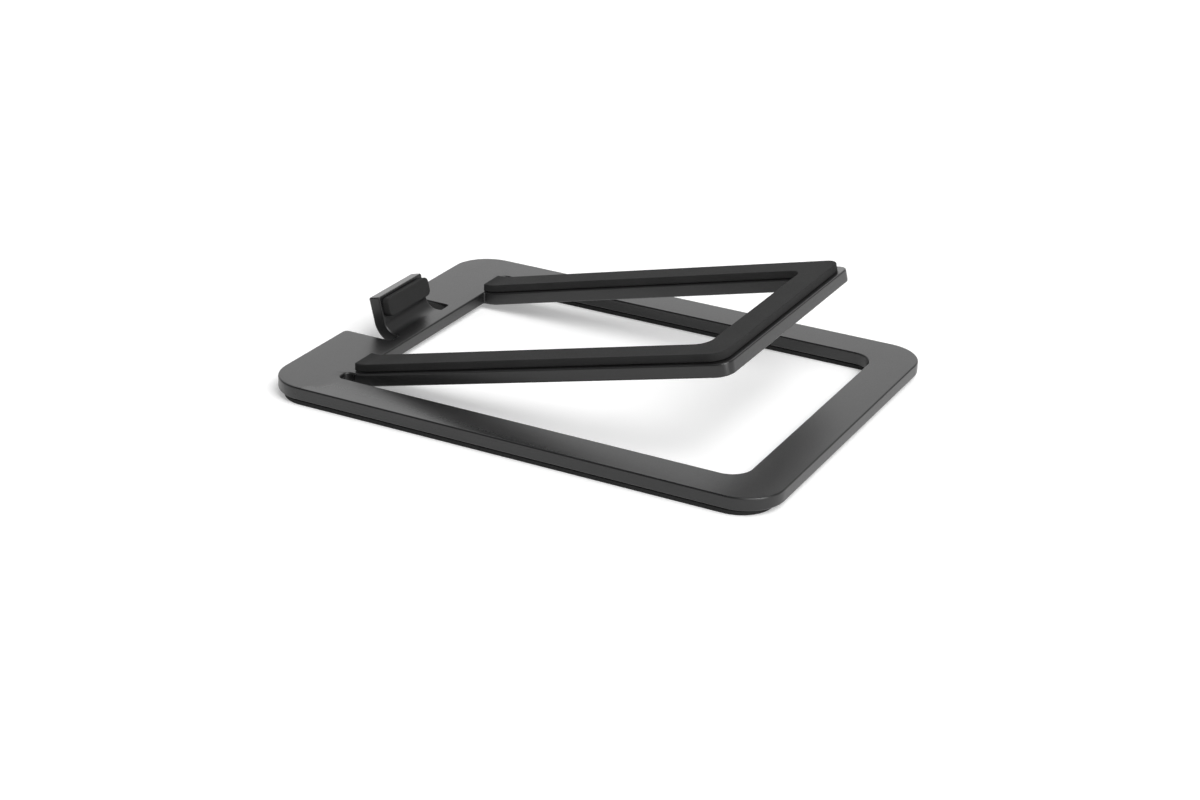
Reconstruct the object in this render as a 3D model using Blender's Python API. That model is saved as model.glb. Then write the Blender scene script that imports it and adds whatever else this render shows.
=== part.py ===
"""Tablet stand folded from one steel plate, with glued rubber pads.

Metres, +Z up.  The origin is the middle of the footprint, on the desk.  The
user sits at -Y, the raised frame climbs towards +Y, and X runs across.

Every sheet (the steel, the rubber and the adhesive film) is first a flat
outline.  Outlines are measured across from the middle line and back from the
plate's front edge.  Heights are measured from the plate's top face.
"""
import math

import bmesh
import bpy

# Plate
PLATE_WIDTH = 0.150
PLATE_DEPTH = 0.196
PLATE_THICKNESS = 0.00475
PLATE_CORNER_RADIUS = 0.015
SIDE_BAR_WIDTH = 0.0154
BACK_BAR_WIDTH = 0.0157
FRONT_BAR_WIDTH = 0.025
WINDOW_CORNER_RADIUS = 0.008

# Raised frame, cut from the window and bent up along the front bar
FRAME_TILT = math.radians(14.2)
FRAME_BEND_RADIUS = 0.018
FRAME_BEND_START = 0.0256
FRAME_WIDTH = 0.1076
FRAME_FLAT_LENGTH = 0.1500
FRAME_ARM_WIDTH = 0.0144
FRAME_CROSSBAR_WIDTH = 0.0140
FRAME_OUTER_RADIUS = 0.0055
FRAME_INNER_RADIUS = 0.004
FRAME_RELIEF_DEPTH = 0.0027
FRAME_RELIEF_RADIUS = 0.002

# Lip, bent up square to the raised frame out of a notch in the front edge
LIP_WIDTH = 0.030
LIP_BEND_RADIUS = 0.005
LIP_BEND_START = 0.0185
LIP_OVERHANG = 0.0010
LIP_CORNER_RADIUS = 0.0006
NOTCH_WIDTH = 0.0414
NOTCH_DEPTH = 0.020
NOTCH_MOUTH_RADIUS = 0.002
LIP_RELIEF_RADIUS = 0.0008

# Rubber pads and the adhesive film that holds them
PAD_STACK = 0.0030
FOOT_STACK = 0.0021
FILM_THICKNESS = 0.00025
FILM_CLEARANCE = 0.0001
FILM_INSET = 0.0008
PAD_OUTER_INSET = 0.0022
PAD_INNER_INSET = 0.0010
PAD_BACK_INSET = 0.0022
PAD_FRONT = 0.0241
PAD_OUTER_RADIUS = 0.006
PAD_INNER_RADIUS = 0.005
LIP_PAD_SIDE_INSET = 0.0008
LIP_PAD_TOP_INSET = 0.0011
LIP_PAD_HEIGHT = 0.0071
LIP_PAD_RADIUS = 0.0022
FOOT_SIDE_INSET = 0.0008
FOOT_END_INSET = 0.0032
FOOT_CORNER_RADIUS = 0.0125
SHARP_CORNER_RADIUS = 0.0005

ARC_STEP = math.radians(10)
FOLD_STEP = math.radians(5)

HALF_WIDTH = PLATE_WIDTH / 2
WINDOW_HALF = HALF_WIDTH - SIDE_BAR_WIDTH
WINDOW_BACK = PLATE_DEPTH - BACK_BAR_WIDTH
FRAME_HALF = FRAME_WIDTH / 2
FRAME_END = FRONT_BAR_WIDTH + FRAME_FLAT_LENGTH
FRAME_INNER_HALF = FRAME_HALF - FRAME_ARM_WIDTH
FRAME_INNER_END = FRAME_END - FRAME_CROSSBAR_WIDTH
LIP_HALF = LIP_WIDTH / 2
LIP_TIP = -LIP_OVERHANG
NOTCH_HALF = NOTCH_WIDTH / 2
PLATE_TOP = FOOT_STACK + PLATE_THICKNESS
FILM_STACK = FILM_THICKNESS + 2 * FILM_CLEARANCE


def clear_scene():
    """Remove the objects that the file starts with."""
    for existing in list(bpy.data.objects):
        bpy.data.objects.remove(existing, do_unlink=True)


def make_material(name, color, roughness, metallic):
    """A Principled material of one colour."""
    material = bpy.data.materials.new(name)
    material.use_nodes = True
    shader = material.node_tree.nodes["Principled BSDF"]
    shader.inputs["Base Color"].default_value = (*color, 1.0)
    shader.inputs["Roughness"].default_value = roughness
    shader.inputs["Metallic"].default_value = metallic
    return material


def rounded(corners):
    """Points of a closed outline, each (x, y, radius) corner turned with an arc."""
    points = []
    for index, (x, y, radius) in enumerate(corners):
        before_x, before_y, _ = corners[index - 1]
        after_x, after_y, _ = corners[(index + 1) % len(corners)]
        arriving = math.atan2(y - before_y, x - before_x)
        leaving = math.atan2(after_y - y, after_x - x)
        turn = math.remainder(leaving - arriving, math.tau)
        setback = radius * math.tan(abs(turn) / 2)
        start_x = x - setback * math.cos(arriving)
        start_y = y - setback * math.sin(arriving)
        side = math.copysign(1.0, turn)
        centre_x = start_x - side * radius * math.sin(arriving)
        centre_y = start_y + side * radius * math.cos(arriving)
        steps = max(1, round(abs(turn) / ARC_STEP)) if radius > SHARP_CORNER_RADIUS else 2
        for step in range(steps + 1):
            heading = arriving + turn * step / steps
            points.append((
                centre_x + side * radius * math.sin(heading),
                centre_y - side * radius * math.cos(heading),
            ))
    return points


def flat_sheet(name, outlines, bottom, top):
    """A closed mesh between two heights, inside the first outline and outside the rest."""
    curve = bpy.data.curves.new(name, "CURVE")
    curve.dimensions = "2D"
    curve.fill_mode = "BOTH"
    curve.extrude = (top - bottom) / 2
    for corners in outlines:
        points = rounded(corners)
        spline = curve.splines.new("POLY")
        spline.points.add(len(points) - 1)
        for point, (x, y) in zip(spline.points, points):
            point.co = (x, y, 0.0, 1.0)
        spline.use_cyclic_u = True
    drawing = bpy.data.objects.new(name + "_outline", curve)
    drawing.location.z = (top + bottom) / 2
    bpy.context.scene.collection.objects.link(drawing)
    bpy.context.view_layer.update()
    graph = bpy.context.evaluated_depsgraph_get()
    mesh = bpy.data.meshes.new_from_object(drawing.evaluated_get(graph))
    mesh.name = name
    mesh.transform(drawing.matrix_world)
    bpy.data.objects.remove(drawing, do_unlink=True)
    sheet = bmesh.new()
    sheet.from_mesh(mesh)
    bmesh.ops.remove_doubles(sheet, verts=sheet.verts, dist=1e-6)
    sheet.to_mesh(mesh)
    sheet.free()
    mesh.materials.clear()
    return mesh


def fold(mesh, start, direction, angle, radius, half_width, far_end):
    """Bend the part of a flat sheet past a line up about an axis along X.

    start is the line where the bend begins, direction is +1 to fold what lies
    behind it and -1 to fold what lies in front, and radius is measured to the
    plate's top face.  Only points within half_width of the middle line and
    short of far_end move, so that the plate around them stays flat.
    """
    neutral_radius = radius + PLATE_THICKNESS / 2
    arc_length = neutral_radius * angle
    steps = math.ceil(angle / FOLD_STEP)
    sheet = bmesh.new()
    sheet.from_mesh(mesh)
    for step in range(steps + 1):
        line = start + direction * arc_length * step / steps
        everything = sheet.verts[:] + sheet.edges[:] + sheet.faces[:]
        bmesh.ops.bisect_plane(sheet, geom=everything, dist=1e-6, plane_co=(0, line, 0), plane_no=(0, 1, 0))
    for vertex in sheet.verts:
        x, y, z = vertex.co
        past = direction * (y - start)
        if past <= 0 or abs(x) > half_width or direction * (y - far_end) > 0:
            continue
        turned = min(past / neutral_radius, angle)
        straight = max(past - arc_length, 0.0)
        reach = (radius - z) * math.sin(turned) + straight * math.cos(turned)
        rise = radius - (radius - z) * math.cos(turned) + straight * math.sin(turned)
        vertex.co = (x, start + direction * reach, rise)
    bmesh.ops.dissolve_limit(sheet, angle_limit=math.radians(0.2), verts=sheet.verts, edges=sheet.edges)
    sheet.to_mesh(mesh)
    sheet.free()


def fold_frame(mesh):
    """Raise the frame: everything inside the window, behind the front bar."""
    half_width = (FRAME_HALF + WINDOW_HALF) / 2
    far_end = (FRAME_END + WINDOW_BACK) / 2
    fold(mesh, FRAME_BEND_START, 1, FRAME_TILT, FRAME_BEND_RADIUS, half_width, far_end)


def fold_lip(mesh):
    """Raise the lip until it stands square to the raised frame."""
    half_width = (LIP_HALF + NOTCH_HALF) / 2
    angle = math.pi / 2 - FRAME_TILT
    fold(mesh, LIP_BEND_START, -1, angle, LIP_BEND_RADIUS, half_width, -PLATE_DEPTH)


def finish(name, mesh, height, material, collection):
    """Put a sheet in the model at its height, smooth round its corners."""
    part = bpy.data.objects.new(name, mesh)
    mesh.materials.append(material)
    collection.objects.link(part)
    part.location = (0.0, -PLATE_DEPTH / 2, height)
    mesh.shade_smooth()
    mesh.set_sharp_from_angle(angle=math.radians(30))


def plate_outline():
    """The blank's outer edge, with the notch and the flat lip at its front."""
    left_half = [
        (-LIP_HALF, LIP_TIP, LIP_CORNER_RADIUS),
        (-LIP_HALF, NOTCH_DEPTH, LIP_RELIEF_RADIUS),
        (-NOTCH_HALF, NOTCH_DEPTH, LIP_RELIEF_RADIUS),
        (-NOTCH_HALF, 0.0, NOTCH_MOUTH_RADIUS),
        (-HALF_WIDTH, 0.0, PLATE_CORNER_RADIUS),
        (-HALF_WIDTH, PLATE_DEPTH, PLATE_CORNER_RADIUS),
    ]
    return left_half + mirrored(left_half)


def mirrored(corners):
    """The same corners on the other side, in the order that closes the outline."""
    return [(-x, y, radius) for x, y, radius in reversed(corners)]


def frame_gap_outline():
    """The gap cut around the raised frame, with its two relief slots."""
    slot_end = FRONT_BAR_WIDTH - FRAME_RELIEF_DEPTH
    left_half = [
        (-FRAME_HALF, FRAME_END, FRAME_OUTER_RADIUS),
        (-FRAME_HALF, slot_end, FRAME_RELIEF_RADIUS),
        (-WINDOW_HALF, slot_end, FRAME_RELIEF_RADIUS),
        (-WINDOW_HALF, WINDOW_BACK, WINDOW_CORNER_RADIUS),
    ]
    return left_half + mirrored(left_half)


def frame_opening_outline():
    """The opening inside the raised frame."""
    left_half = [
        (-FRAME_INNER_HALF, FRONT_BAR_WIDTH, SHARP_CORNER_RADIUS),
        (-FRAME_INNER_HALF, FRAME_INNER_END, FRAME_INNER_RADIUS),
    ]
    return left_half + mirrored(left_half)


def frame_pad_outline(inset):
    """The U-shaped pad on the raised frame, drawn in by an even inset."""
    outer_half = FRAME_HALF - PAD_OUTER_INSET - inset
    inner_half = FRAME_INNER_HALF + PAD_INNER_INSET + inset
    front = PAD_FRONT + inset
    back = FRAME_END - PAD_BACK_INSET - inset
    inner_back = FRAME_INNER_END + PAD_INNER_INSET + inset
    left_half = [
        (-outer_half, back, PAD_OUTER_RADIUS - inset),
        (-outer_half, front, SHARP_CORNER_RADIUS),
        (-inner_half, front, SHARP_CORNER_RADIUS),
        (-inner_half, inner_back, PAD_INNER_RADIUS + inset),
    ]
    return left_half + mirrored(left_half)


def lip_pad_outline(inset):
    """The pad on the lip's inner face, drawn in by an even inset."""
    half_width = LIP_HALF - LIP_PAD_SIDE_INSET - inset
    top = LIP_TIP + LIP_PAD_TOP_INSET + inset
    bottom = LIP_TIP + LIP_PAD_TOP_INSET + LIP_PAD_HEIGHT - inset
    corner_radius = LIP_PAD_RADIUS - inset
    left_half = [
        (-half_width, top, corner_radius),
        (-half_width, bottom, corner_radius),
    ]
    return left_half + mirrored(left_half)


def foot_outline(side, inset):
    """The strip under one side bar, rounded under the plate's corners."""
    outer = HALF_WIDTH - FOOT_SIDE_INSET - inset
    inner = WINDOW_HALF + FOOT_SIDE_INSET + inset
    front = FOOT_END_INSET + inset
    back = PLATE_DEPTH - FOOT_END_INSET - inset
    return [
        (side * inner, front, SHARP_CORNER_RADIUS),
        (side * outer, front, FOOT_CORNER_RADIUS - inset),
        (side * outer, back, FOOT_CORNER_RADIUS - inset),
        (side * inner, back, SHARP_CORNER_RADIUS),
    ]


def make_plate(material, collection):
    """The steel: one blank, cut flat and then folded twice."""
    outlines = [plate_outline(), frame_gap_outline(), frame_opening_outline()]
    mesh = flat_sheet("steel_plate", outlines, -PLATE_THICKNESS, 0.0)
    fold_frame(mesh)
    fold_lip(mesh)
    finish("steel_plate", mesh, PLATE_TOP, material, collection)


def make_glued_pad(name, outline, fold_sheet, rubber, film, collection):
    """A rubber pad on the plate's top side, and the adhesive film under it."""
    pad_mesh = flat_sheet(name, [outline(0.0)], FILM_STACK, PAD_STACK)
    film_top = FILM_STACK - FILM_CLEARANCE
    film_mesh = flat_sheet(name + "_adhesive", [outline(FILM_INSET)], FILM_CLEARANCE, film_top)
    fold_sheet(pad_mesh)
    fold_sheet(film_mesh)
    finish(name, pad_mesh, PLATE_TOP, rubber, collection)
    finish(name + "_adhesive", film_mesh, PLATE_TOP, film, collection)


def make_foot(name, side, rubber, film, collection):
    """A rubber strip under one side bar, and the adhesive film above it."""
    foot_top = FOOT_STACK - FILM_STACK
    foot_mesh = flat_sheet(name, [foot_outline(side, 0.0)], 0.0, foot_top)
    film_bottom = foot_top + FILM_CLEARANCE
    film_top = FOOT_STACK - FILM_CLEARANCE
    film_mesh = flat_sheet(name + "_adhesive", [foot_outline(side, FILM_INSET)], film_bottom, film_top)
    finish(name, foot_mesh, 0.0, rubber, collection)
    finish(name + "_adhesive", film_mesh, 0.0, film, collection)


def main():
    clear_scene()
    collection = bpy.data.collections.new("tablet_stand")
    bpy.context.scene.collection.children.link(collection)

    coating = make_material("graphite_powder_coat", (0.028, 0.028, 0.030), 0.55, 0.15)
    rubber = make_material("black_rubber", (0.012, 0.012, 0.012), 0.75, 0.0)
    film = make_material("acrylic_adhesive", (0.05, 0.05, 0.05), 0.40, 0.0)

    make_plate(coating, collection)
    make_glued_pad("frame_pad", frame_pad_outline, fold_frame, rubber, film, collection)
    make_glued_pad("lip_pad", lip_pad_outline, fold_lip, rubber, film, collection)
    make_foot("left_foot_strip", -1, rubber, film, collection)
    make_foot("right_foot_strip", 1, rubber, film, collection)


main()
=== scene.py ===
"""Studio picture of a tablet stand: one folded, powder-coated plate with rubber pads.

Metres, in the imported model's frame: +Z up, the desk at zero, the user at -Y.

Each sheet is drawn flat, with its cut edges already rounded, and is then folded
along its bend lines.  Flat outlines are measured across from the middle line and
back from the plate's front edge, and heights from the plate's top face.
"""

import math

import bmesh
import bpy
from mathutils import Matrix, Vector


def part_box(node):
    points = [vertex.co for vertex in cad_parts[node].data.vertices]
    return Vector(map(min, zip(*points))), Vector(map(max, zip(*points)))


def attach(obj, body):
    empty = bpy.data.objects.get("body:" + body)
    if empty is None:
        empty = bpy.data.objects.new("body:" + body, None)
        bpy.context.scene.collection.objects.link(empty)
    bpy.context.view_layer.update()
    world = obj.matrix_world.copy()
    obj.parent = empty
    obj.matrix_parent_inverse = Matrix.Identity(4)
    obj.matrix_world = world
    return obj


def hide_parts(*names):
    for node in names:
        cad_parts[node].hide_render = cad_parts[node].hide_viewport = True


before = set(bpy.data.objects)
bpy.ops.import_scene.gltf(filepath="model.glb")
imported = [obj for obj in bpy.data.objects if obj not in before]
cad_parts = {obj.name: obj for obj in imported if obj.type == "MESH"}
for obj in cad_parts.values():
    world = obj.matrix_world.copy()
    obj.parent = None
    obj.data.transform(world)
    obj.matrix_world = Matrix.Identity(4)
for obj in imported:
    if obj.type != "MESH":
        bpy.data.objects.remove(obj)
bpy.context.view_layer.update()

PLATE_LOW, PLATE_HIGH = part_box("steel_plate")
FOOT_LOW, FOOT_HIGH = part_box("right_foot_strip")
FRAME_PAD_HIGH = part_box("frame_pad")[1]
LIP_PAD_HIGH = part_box("lip_pad")[1]

# Plate
PLATE_WIDTH = PLATE_HIGH.x - PLATE_LOW.x
PLATE_DEPTH = PLATE_HIGH.y - PLATE_LOW.y
PLATE_BOTTOM = PLATE_LOW.z
PLATE_THICKNESS = 0.00475
PLATE_CORNER_RADIUS = 0.015
SIDE_BAR_WIDTH = 0.0154
BACK_BAR_WIDTH = 0.0157
FRONT_BAR_WIDTH = 0.025
WINDOW_CORNER_RADIUS = 0.008
STEEL_EDGE_RADIUS = 0.0006

# Raised frame
FRAME_TILT = math.radians(14.2)
FRAME_BEND_RADIUS = 0.018
FRAME_BEND_START = 0.0256
FRAME_WIDTH = 0.1076
FRAME_FLAT_LENGTH = 0.1500
FRAME_ARM_WIDTH = 0.0144
FRAME_CROSSBAR_WIDTH = 0.0140
FRAME_OUTER_RADIUS = 0.0055
FRAME_INNER_RADIUS = 0.004
FRAME_RELIEF_DEPTH = 0.0027
FRAME_RELIEF_RADIUS = 0.002

# Lip
LIP_WIDTH = 0.030
LIP_BEND_RADIUS = 0.005
LIP_BEND_START = 0.0185
LIP_OVERHANG = 0.0010
LIP_CORNER_RADIUS = 0.0006
NOTCH_WIDTH = 0.0414
NOTCH_DEPTH = 0.020
NOTCH_MOUTH_RADIUS = 0.002
LIP_RELIEF_RADIUS = 0.0008

# Rubber pads and their adhesive films
PAD_STACK = 0.0030
FILM_THICKNESS = 0.00025
FILM_CLEARANCE = 0.0001
PAD_INNER_INSET = 0.0010
PAD_BACK_INSET = 0.0022
PAD_FRONT = 0.0241
PAD_OUTER_RADIUS = 0.006
PAD_INNER_RADIUS = 0.005
LIP_PAD_TOP_INSET = 0.0011
LIP_PAD_HEIGHT = 0.0071
LIP_PAD_RADIUS = 0.0022
FOOT_CORNER_RADIUS = 0.0125
RUBBER_EDGE_RADIUS = 0.0003
RIM_WIDTH = 0.0007

# Smoothness of the curves
SHARP_CORNER_RADIUS = 0.0005
SHARP_CORNER_STEPS = 4
ARC_STEP = math.radians(3)
FOLD_STEP = math.radians(1.5)
EDGE_STEPS = 3
CREASE_ANGLE = math.radians(50)
CUT_TOLERANCE = 1e-6

HALF_WIDTH = PLATE_WIDTH / 2
WINDOW_HALF = HALF_WIDTH - SIDE_BAR_WIDTH
WINDOW_BACK = PLATE_DEPTH - BACK_BAR_WIDTH
FRAME_HALF = FRAME_WIDTH / 2
FRAME_END = FRONT_BAR_WIDTH + FRAME_FLAT_LENGTH
FRAME_INNER_HALF = FRAME_HALF - FRAME_ARM_WIDTH
FRAME_INNER_END = FRAME_END - FRAME_CROSSBAR_WIDTH
PAD_OUTER_HALF = FRAME_PAD_HIGH.x
LIP_HALF = LIP_WIDTH / 2
NOTCH_HALF = NOTCH_WIDTH / 2
PLATE_TOP = PLATE_BOTTOM + PLATE_THICKNESS
FILM_STACK = FILM_THICKNESS + 2 * FILM_CLEARANCE

# Camera
CAMERA_AZIMUTH = math.radians(116.75)
CAMERA_ELEVATION = math.radians(23.95)
CAMERA_ROLL = math.radians(1.93)
CAMERA_DISTANCE = 0.8491
CAMERA_LENS = 71.03
CAMERA_TARGET = Vector((0.0147, 0.0064, 0.0))

# Studio
FLOOR_SIZE = 30.0
FLOOR_GLOW = 0.30
KEY_DIRECTION = Vector((0.30, 0.85, 1.3))
KEY_STRENGTH = 2.7
KEY_SOFTNESS = math.radians(46)
SIDE_LIGHT_POSITION = Vector((0.32, 0.92, 0.20))
SIDE_LIGHT_POWER = 2.0
SIDE_LIGHT_SIZE = 0.16
PANEL_DIRECTION = Vector((-0.80, -0.53, 0.28))
PANEL_STRENGTH = 1.46
PANEL_REACH = 0.60
WALL_STRENGTH = 0.42
WALL_TOP = 0.35
CEILING_STRENGTH = 0.10
CEILING_EDGE = 0.75
BACKGROUND_STRENGTH = 1.1


def rounded(corners):
    """Points of a closed outline, each (x, y, radius) corner turned with an arc."""
    points = []
    for index, (x, y, radius) in enumerate(corners):
        before_x, before_y, _ = corners[index - 1]
        after_x, after_y, _ = corners[(index + 1) % len(corners)]
        arriving = math.atan2(y - before_y, x - before_x)
        leaving = math.atan2(after_y - y, after_x - x)
        turn = math.remainder(leaving - arriving, math.tau)
        setback = radius * math.tan(abs(turn) / 2)
        start_x = x - setback * math.cos(arriving)
        start_y = y - setback * math.sin(arriving)
        side = math.copysign(1.0, turn)
        centre_x = start_x - side * radius * math.sin(arriving)
        centre_y = start_y + side * radius * math.cos(arriving)
        steps = SHARP_CORNER_STEPS
        if radius > 2 * SHARP_CORNER_RADIUS:
            steps = max(1, round(abs(turn) / ARC_STEP))
        for step in range(steps + 1):
            heading = arriving + turn * step / steps
            points.append((
                centre_x + side * radius * math.sin(heading),
                centre_y - side * radius * math.cos(heading),
            ))
    return points


def inset_points(points, distance):
    """A closed outline moved sideways by a distance, to its left along the way it runs."""
    moved = []
    for index, point in enumerate(points):
        here = Vector(point)
        arriving = (here - Vector(points[index - 1])).normalized()
        leaving = (Vector(points[(index + 1) % len(points)]) - here).normalized()
        middle = (arriving + leaving).normalized()
        stretch = 1 / max(middle.dot(arriving), 0.5)
        moved.append(here + Vector((-middle.y, middle.x)) * distance * stretch)
    return moved


def signed_area(points):
    """Twice the area of a closed outline, positive when it runs anticlockwise."""
    total = 0.0
    for index, (x, y) in enumerate(points):
        before_x, before_y = points[index - 1]
        total += before_x * y - x * before_y
    return total


def add_wall(sheet, points, bottom, top, edge_radius, inward, recess):
    """The cut edge all along one outline, quarter-round where it meets both faces.

    inward is +1 for an outer outline and -1 for a hole's.  recess is how deep the
    underside is hollowed inside its rim.  Returns the edges of the bottom ring and
    of the top ring.
    """
    if signed_area(points) < 0:
        points = points[::-1]
    rings = []
    if recess:
        rim = inset_points(points, inward * RIM_WIDTH)
        for height in (bottom + recess, bottom):
            rings.append([sheet.verts.new((x, y, height)) for x, y in rim])
    for face_height, lean in ((bottom, 1), (top, -1)):
        for step in range(EDGE_STEPS + 1):
            angle = math.pi / 2 * (step if lean > 0 else EDGE_STEPS - step) / EDGE_STEPS
            drawn_in = edge_radius * (1 - math.sin(angle))
            height = face_height + lean * edge_radius * (1 - math.cos(angle))
            outline = inset_points(points, inward * drawn_in)
            rings.append([sheet.verts.new((x, y, height)) for x, y in outline])
    for lower, upper in zip(rings, rings[1:]):
        for index in range(len(lower)):
            corners = [lower[index - 1], lower[index], upper[index], upper[index - 1]]
            sheet.faces.new(corners if inward > 0 else corners[::-1])
    loops = []
    for ring in (rings[0], rings[-1]):
        neighbours = zip(ring, ring[-1:] + ring[:-1])
        loops.append([sheet.edges.get((before, here)) for here, before in neighbours])
    return loops


def flat_sheet(name, outlines, bottom, top, edge_radius, recess=0.0):
    """A closed, round-edged mesh inside the first outline and outside the rest."""
    sheet = bmesh.new()
    bottom_edges = []
    top_edges = []
    for number, corners in enumerate(outlines):
        inward = 1 if number == 0 else -1
        lower, upper = add_wall(sheet, rounded(corners), bottom, top, edge_radius, inward, recess)
        bottom_edges += lower
        top_edges += upper
    for edges, facing in ((bottom_edges, -1), (top_edges, 1)):
        bmesh.ops.triangle_fill(sheet, edges=edges, use_beauty=True, normal=(0, 0, facing))
    bmesh.ops.recalc_face_normals(sheet, faces=sheet.faces)
    mesh = bpy.data.meshes.new(name)
    sheet.to_mesh(mesh)
    sheet.free()
    return mesh


def fold(mesh, start, direction, angle, radius, half_width, far_end):
    """Bend the part of a flat sheet past a line up about an axis along X.

    start is the line where the bend begins, direction is +1 to fold what lies
    behind it and -1 to fold what lies in front, and radius is measured to the
    plate's top face.  Only points within half_width of the middle line and
    short of far_end move, so that the plate around them stays flat.
    """
    neutral_radius = radius + PLATE_THICKNESS / 2
    arc_length = neutral_radius * angle
    steps = math.ceil(angle / FOLD_STEP)
    sheet = bmesh.new()
    sheet.from_mesh(mesh)
    for step in range(steps + 1):
        line = start + direction * arc_length * step / steps
        everything = sheet.verts[:] + sheet.edges[:] + sheet.faces[:]
        bmesh.ops.bisect_plane(
            sheet, geom=everything, dist=CUT_TOLERANCE, plane_co=(0, line, 0), plane_no=(0, 1, 0)
        )
    for vertex in sheet.verts:
        x, y, z = vertex.co
        past = direction * (y - start)
        if past <= 0 or abs(x) > half_width or direction * (y - far_end) > 0:
            continue
        turned = min(past / neutral_radius, angle)
        straight = max(past - arc_length, 0.0)
        reach = (radius - z) * math.sin(turned) + straight * math.cos(turned)
        rise = radius - (radius - z) * math.cos(turned) + straight * math.sin(turned)
        vertex.co = (x, start + direction * reach, rise)
    sheet.to_mesh(mesh)
    sheet.free()


def fold_frame(mesh):
    """Raise the frame: everything inside the window, behind the front bar."""
    half_width = (FRAME_HALF + WINDOW_HALF) / 2
    far_end = (FRAME_END + WINDOW_BACK) / 2
    fold(mesh, FRAME_BEND_START, 1, FRAME_TILT, FRAME_BEND_RADIUS, half_width, far_end)


def fold_lip(mesh):
    """Raise the lip until it stands square to the raised frame."""
    half_width = (LIP_HALF + NOTCH_HALF) / 2
    angle = math.pi / 2 - FRAME_TILT
    fold(mesh, LIP_BEND_START, -1, angle, LIP_BEND_RADIUS, half_width, -PLATE_DEPTH)


def place(name, mesh, height, material, slot, *nodes):
    """Put a sheet in the scene in place of its CAD nodes, with flat faces and soft edges."""
    piece = bpy.data.objects.new(name, mesh)
    mesh.materials.append(material)
    bpy.context.scene.collection.objects.link(piece)
    mesh.transform(Matrix.Translation((0.0, PLATE_LOW.y, height)))
    mesh.shade_smooth()
    mesh.set_sharp_from_angle(angle=CREASE_ANGLE)
    weighted = piece.modifiers.new("flat faces", "WEIGHTED_NORMAL")
    weighted.keep_sharp = True
    weighted.mode = "FACE_AREA"
    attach(piece, "root")
    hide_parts(*nodes)
    return piece


def mirrored(corners):
    """The same corners on the other side, in the order that closes the outline."""
    return [(-x, y, radius) for x, y, radius in reversed(corners)]


def plate_outline():
    """The blank's outer edge, with the notch and the flat lip at its front."""
    left_half = [
        (-LIP_HALF, -LIP_OVERHANG, LIP_CORNER_RADIUS),
        (-LIP_HALF, NOTCH_DEPTH, LIP_RELIEF_RADIUS),
        (-NOTCH_HALF, NOTCH_DEPTH, LIP_RELIEF_RADIUS),
        (-NOTCH_HALF, 0.0, NOTCH_MOUTH_RADIUS),
        (-HALF_WIDTH, 0.0, PLATE_CORNER_RADIUS),
        (-HALF_WIDTH, PLATE_DEPTH, PLATE_CORNER_RADIUS),
    ]
    return left_half + mirrored(left_half)


def frame_gap_outline():
    """The gap cut around the raised frame, with its two relief slots."""
    slot_end = FRONT_BAR_WIDTH - FRAME_RELIEF_DEPTH
    left_half = [
        (-FRAME_HALF, FRAME_END, FRAME_OUTER_RADIUS),
        (-FRAME_HALF, slot_end, FRAME_RELIEF_RADIUS),
        (-WINDOW_HALF, slot_end, FRAME_RELIEF_RADIUS),
        (-WINDOW_HALF, WINDOW_BACK, WINDOW_CORNER_RADIUS),
    ]
    return left_half + mirrored(left_half)


def frame_opening_outline():
    """The opening inside the raised frame."""
    left_half = [
        (-FRAME_INNER_HALF, FRONT_BAR_WIDTH, SHARP_CORNER_RADIUS),
        (-FRAME_INNER_HALF, FRAME_INNER_END, FRAME_INNER_RADIUS),
    ]
    return left_half + mirrored(left_half)


def frame_pad_outline(inset):
    """The U-shaped pad on the raised frame, drawn in by an even inset."""
    outer_half = PAD_OUTER_HALF - inset
    inner_half = FRAME_INNER_HALF + PAD_INNER_INSET + inset
    front = PAD_FRONT + inset
    back = FRAME_END - PAD_BACK_INSET - inset
    inner_back = FRAME_INNER_END + PAD_INNER_INSET + inset
    left_half = [
        (-outer_half, back, PAD_OUTER_RADIUS - inset),
        (-outer_half, front, SHARP_CORNER_RADIUS),
        (-inner_half, front, SHARP_CORNER_RADIUS),
        (-inner_half, inner_back, PAD_INNER_RADIUS + inset),
    ]
    return left_half + mirrored(left_half)


def lip_pad_outline(inset):
    """The pad on the lip's inner face, drawn in by an even inset."""
    half_width = LIP_PAD_HIGH.x - inset
    top = LIP_PAD_TOP_INSET - LIP_OVERHANG + inset
    bottom = top + LIP_PAD_HEIGHT - 2 * inset
    left_half = [
        (-half_width, top, LIP_PAD_RADIUS - inset),
        (-half_width, bottom, LIP_PAD_RADIUS - inset),
    ]
    return left_half + mirrored(left_half)


def foot_outline(side, low, high):
    """The strip under one side bar, from the corners of the right one's box."""
    front = low.y - PLATE_LOW.y
    back = high.y - PLATE_LOW.y
    return [
        (side * low.x, front, SHARP_CORNER_RADIUS),
        (side * high.x, front, FOOT_CORNER_RADIUS),
        (side * high.x, back, FOOT_CORNER_RADIUS),
        (side * low.x, back, SHARP_CORNER_RADIUS),
    ]


def new_material(name):
    """A new Principled material, with its shader and its node tree."""
    material = bpy.data.materials.new(name)
    material.use_nodes = True
    tree = material.node_tree
    return material, tree.nodes["Principled BSDF"], tree


def noise(tree, scale, detail, roughness=0.5):
    """A noise texture in the model's own metres, scale being bumps in a metre."""
    where = tree.nodes.new("ShaderNodeTexCoord")
    texture = tree.nodes.new("ShaderNodeTexNoise")
    texture.inputs["Scale"].default_value = scale
    texture.inputs["Detail"].default_value = detail
    texture.inputs["Roughness"].default_value = roughness
    tree.links.new(where.outputs["Object"], texture.inputs["Vector"])
    return texture.outputs["Fac"]


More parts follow.
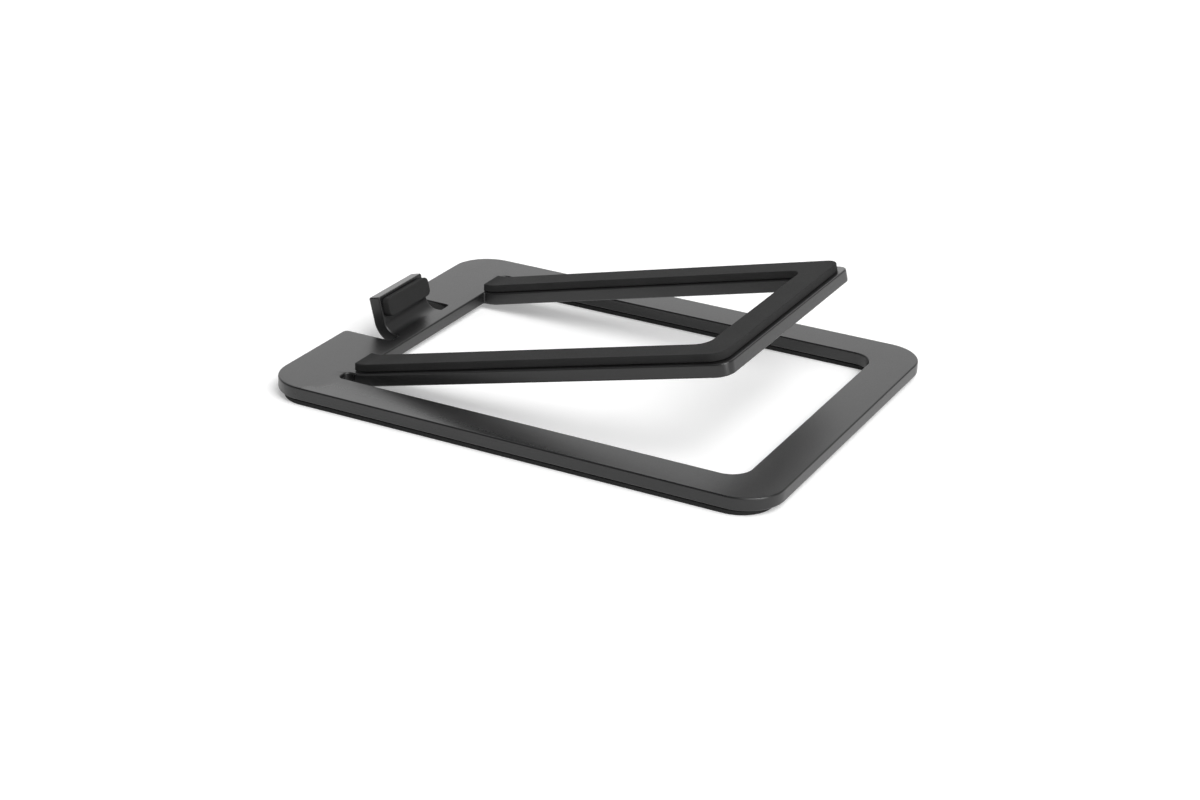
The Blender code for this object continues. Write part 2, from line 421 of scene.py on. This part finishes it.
def spread(tree, value, low, high, from_low=0.3, from_high=0.7):
    """The value stretched to run from low to high."""
    remap = tree.nodes.new("ShaderNodeMapRange")
    remap.inputs["From Min"].default_value = from_low
    remap.inputs["From Max"].default_value = from_high
    remap.inputs["To Min"].default_value = low
    remap.inputs["To Max"].default_value = high
    tree.links.new(value, remap.inputs["Value"])
    return remap.outputs["Result"]


def mix_colors(tree, factor, first, second):
    """A colour that runs from first to second as factor runs from 0 to 1."""
    mix = tree.nodes.new("ShaderNodeMix")
    mix.data_type = "RGBA"
    tree.links.new(factor, mix.inputs["Factor"])
    for socket, color in ((mix.inputs["A"], first), (mix.inputs["B"], second)):
        if isinstance(color, tuple):
            socket.default_value = (*color, 1.0)
        else:
            tree.links.new(color, socket)
    return mix.outputs["Result"]


def mix_values(tree, factor, first, second):
    """A number that runs from the linked first to the plain second as factor runs from 0 to 1."""
    mix = tree.nodes.new("ShaderNodeMix")
    tree.links.new(factor, mix.inputs["Factor"])
    tree.links.new(first, mix.inputs["A"])
    mix.inputs["B"].default_value = second
    return mix.outputs["Result"]


def add_bump(tree, shader, layers):
    """Stack bump layers, each (height output, strength, distance), on a shader."""
    previous = None
    for height, strength, distance in layers:
        bump = tree.nodes.new("ShaderNodeBump")
        bump.inputs["Strength"].default_value = strength
        bump.inputs["Distance"].default_value = distance
        tree.links.new(height, bump.inputs["Height"])
        if previous:
            tree.links.new(previous, bump.inputs["Normal"])
        previous = bump.outputs["Normal"]
    tree.links.new(previous, shader.inputs["Normal"])


def edge_wear(tree, low, high):
    """1 on the rounded cut edges, where hands polish the coating, and 0 on flat faces."""
    geometry = tree.nodes.new("ShaderNodeNewGeometry")
    return spread(tree, geometry.outputs["Pointiness"], 0.0, 1.0, low, high)


def powder_coat():
    """Fine-textured matte graphite powder coat over steel."""
    material, shader, tree = new_material("graphite_powder_coat_fine")
    cloud = noise(tree, 45.0, 3.0)
    grain = noise(tree, 2600.0, 2.0, 0.6)
    orange_peel = noise(tree, 700.0, 2.0)
    darker, lighter, speck = (0.007, 0.007, 0.0072), (0.010, 0.010, 0.0102), (0.022, 0.022, 0.022)
    base = mix_colors(tree, spread(tree, cloud, 0.0, 1.0), darker, lighter)
    speckled = mix_colors(tree, spread(tree, grain, 0.0, 1.0, 0.62, 0.80), base, speck)
    tree.links.new(speckled, shader.inputs["Base Color"])
    coated_roughness = spread(tree, grain, 0.31, 0.41)
    worn_roughness = mix_values(tree, edge_wear(tree, 0.52, 0.60), coated_roughness, 0.16)
    tree.links.new(worn_roughness, shader.inputs["Roughness"])
    shader.inputs["Specular IOR Level"].default_value = 0.55
    add_bump(tree, shader, [(orange_peel, 0.12, 0.00008), (grain, 0.20, 0.00004)])
    return material


def rubber():
    """Matte black moulded rubber with a very fine grain."""
    material, shader, tree = new_material("black_rubber_fine")
    cloud = noise(tree, 60.0, 4.0)
    grain = noise(tree, 3200.0, 2.0, 0.6)
    darker, lighter = (0.022, 0.022, 0.022), (0.027, 0.027, 0.027)
    color = mix_colors(tree, spread(tree, cloud, 0.0, 1.0), darker, lighter)
    tree.links.new(color, shader.inputs["Base Color"])
    tree.links.new(spread(tree, grain, 0.66, 0.78), shader.inputs["Roughness"])
    shader.inputs["Specular IOR Level"].default_value = 0.09
    add_bump(tree, shader, [(grain, 0.25, 0.00004)])
    return material


def adhesive():
    """Dark pressure-sensitive adhesive film."""
    material, shader, tree = new_material("acrylic_adhesive_fine")
    cloud = noise(tree, 300.0, 3.0)
    darker, lighter = (0.030, 0.030, 0.030), (0.045, 0.045, 0.045)
    color = mix_colors(tree, spread(tree, cloud, 0.0, 1.0), darker, lighter)
    tree.links.new(color, shader.inputs["Base Color"])
    tree.links.new(spread(tree, cloud, 0.35, 0.50), shader.inputs["Roughness"])
    add_bump(tree, shader, [(cloud, 0.15, 0.00005)])
    return material


def floor_paint():
    """Plain white seamless floor, which glows a little to keep the shadows faint."""
    material, shader, tree = new_material("white_floor")
    cloud = noise(tree, 3.0, 2.0)
    darker, lighter = (0.80, 0.80, 0.80), (0.81, 0.81, 0.81)
    color = mix_colors(tree, spread(tree, cloud, 0.0, 1.0), darker, lighter)
    tree.links.new(color, shader.inputs["Base Color"])
    shader.inputs["Roughness"].default_value = 0.9
    shader.inputs["Emission Color"].default_value = (1.0, 1.0, 1.0, 1.0)
    shader.inputs["Emission Strength"].default_value = FLOOR_GLOW
    shader.inputs["Specular IOR Level"].default_value = 0.1
    return material


def make_plate(material):
    """The steel: one blank, cut flat and then folded twice."""
    outlines = [plate_outline(), frame_gap_outline(), frame_opening_outline()]
    mesh = flat_sheet("folded_plate", outlines, -PLATE_THICKNESS, 0.0, STEEL_EDGE_RADIUS)
    fold_frame(mesh)
    fold_lip(mesh)
    place("folded_plate", mesh, PLATE_TOP, material, "graphite_powder_coat", "steel_plate")


def make_glued_pad(node, name, outline, fold_sheet, material):
    """One of the two rubber pads on the plate's top side."""
    recess = FILM_STACK - FILM_CLEARANCE
    mesh = flat_sheet(name, [outline(0.0)], FILM_CLEARANCE, PAD_STACK, RUBBER_EDGE_RADIUS, recess)
    fold_sheet(mesh)
    place(name, mesh, PLATE_TOP, material, "black_rubber", node)


def make_foot(side, node, name, material):
    """A rubber strip under one side bar."""
    outline = foot_outline(side, FOOT_LOW, FOOT_HIGH)
    mesh = flat_sheet(name, [outline], FOOT_LOW.z, FOOT_HIGH.z, RUBBER_EDGE_RADIUS)
    place(name, mesh, 0.0, material, "black_rubber", node)


def dress_films(material):
    """Give the hidden adhesive films their finish."""
    for name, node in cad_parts.items():
        if name.endswith("_adhesive"):
            node.data.materials.clear()
            node.data.materials.append(material)


def make_floor():
    """A floor that reaches the horizon."""
    grid = bmesh.new()
    bmesh.ops.create_grid(grid, x_segments=8, y_segments=8, size=FLOOR_SIZE / 2)
    mesh = bpy.data.meshes.new("studio_floor")
    grid.to_mesh(mesh)
    grid.free()
    mesh.materials.append(floor_paint())
    floor = bpy.data.objects.new("studio_floor", mesh)
    bpy.context.scene.collection.objects.link(floor)


def add_lamp(name, kind, towards_light):
    """A light that shines down along a direction, and its settings."""
    data = bpy.data.lights.new(name, kind)
    lamp = bpy.data.objects.new(name, data)
    lamp.rotation_mode = "QUATERNION"
    lamp.rotation_quaternion = towards_light.to_track_quat("Z", "Y")
    bpy.context.scene.collection.objects.link(lamp)
    return lamp, data


def make_key_light():
    """A very soft light from one direction, the same all over the floor."""
    _, data = add_lamp("key_light", "SUN", KEY_DIRECTION)
    data.energy = KEY_STRENGTH
    data.angle = KEY_SOFTNESS


def make_side_light():
    """A small panel behind the stand, which brightens the corners turned to the camera."""
    lamp, data = add_lamp("side_light", "AREA", SIDE_LIGHT_POSITION)
    data.energy = SIDE_LIGHT_POWER
    data.size = SIDE_LIGHT_SIZE
    lamp.location = SIDE_LIGHT_POSITION
    lamp.visible_camera = False


def larger_of(tree, first, second):
    """The larger of two linked numbers."""
    larger = tree.nodes.new("ShaderNodeMath")
    larger.operation = "MAXIMUM"
    tree.links.new(first, larger.inputs[0])
    tree.links.new(second, larger.inputs[1])
    return larger.outputs["Value"]


def make_world():
    """A white studio: dim walls, a darker ceiling and a bright panel beyond the stand."""
    world = bpy.data.worlds.new("white_studio")
    world.use_nodes = True
    tree = world.node_tree
    background = tree.nodes["Background"]
    where = tree.nodes.new("ShaderNodeTexCoord").outputs["Generated"]
    towards = tree.nodes.new("ShaderNodeVectorMath")
    towards.operation = "DOT_PRODUCT"
    towards.inputs[1].default_value = PANEL_DIRECTION
    tree.links.new(where, towards.inputs[0])
    toward_panel = towards.outputs["Value"]
    panel = spread(tree, toward_panel, CEILING_STRENGTH, PANEL_STRENGTH, PANEL_REACH, 1.0)
    parts = tree.nodes.new("ShaderNodeSeparateXYZ")
    tree.links.new(where, parts.inputs["Vector"])
    up = parts.outputs["Z"]
    walls = spread(tree, up, WALL_STRENGTH, CEILING_STRENGTH, WALL_TOP, CEILING_EDGE)
    light = larger_of(tree, panel, walls)
    seen = tree.nodes.new("ShaderNodeLightPath").outputs["Is Camera Ray"]
    strength = mix_values(tree, seen, light, BACKGROUND_STRENGTH)
    tree.links.new(strength, background.inputs["Strength"])
    background.inputs["Color"].default_value = (1.0, 1.0, 1.0, 1.0)
    bpy.context.scene.world = world


def make_camera():
    """The camera, looking down on the stand from beyond its right back corner."""
    data = bpy.data.cameras.new("camera")
    data.lens = CAMERA_LENS
    data.sensor_width = 36.0
    data.clip_start = 0.01
    data.clip_end = 100.0
    azimuth, elevation = CAMERA_AZIMUTH, CAMERA_ELEVATION
    right = Vector((math.cos(azimuth), math.sin(azimuth), 0.0))
    back = Vector((
        math.sin(azimuth) * math.cos(elevation),
        -math.cos(azimuth) * math.cos(elevation),
        math.sin(elevation),
    ))
    up = back.cross(right)
    turn = Matrix((right, up, back)).transposed() @ Matrix.Rotation(CAMERA_ROLL, 3, "Z")
    camera = bpy.data.objects.new("camera", data)
    position = CAMERA_TARGET + back * CAMERA_DISTANCE
    camera.matrix_world = Matrix.LocRotScale(position, turn.to_quaternion(), None)
    bpy.context.scene.collection.objects.link(camera)
    bpy.context.scene.camera = camera


steel = powder_coat()
black_rubber = rubber()
make_plate(steel)
make_glued_pad("frame_pad", "frame_rubber", frame_pad_outline, fold_frame, black_rubber)
make_glued_pad("lip_pad", "lip_rubber", lip_pad_outline, fold_lip, black_rubber)
make_foot(-1, "left_foot_strip", "left_foot_rubber", black_rubber)
make_foot(1, "right_foot_strip", "right_foot_rubber", black_rubber)
dress_films(adhesive())

make_floor()
make_world()
make_key_light()
make_side_light()
make_camera()
bpy.context.scene.view_settings.view_transform = "Standard"
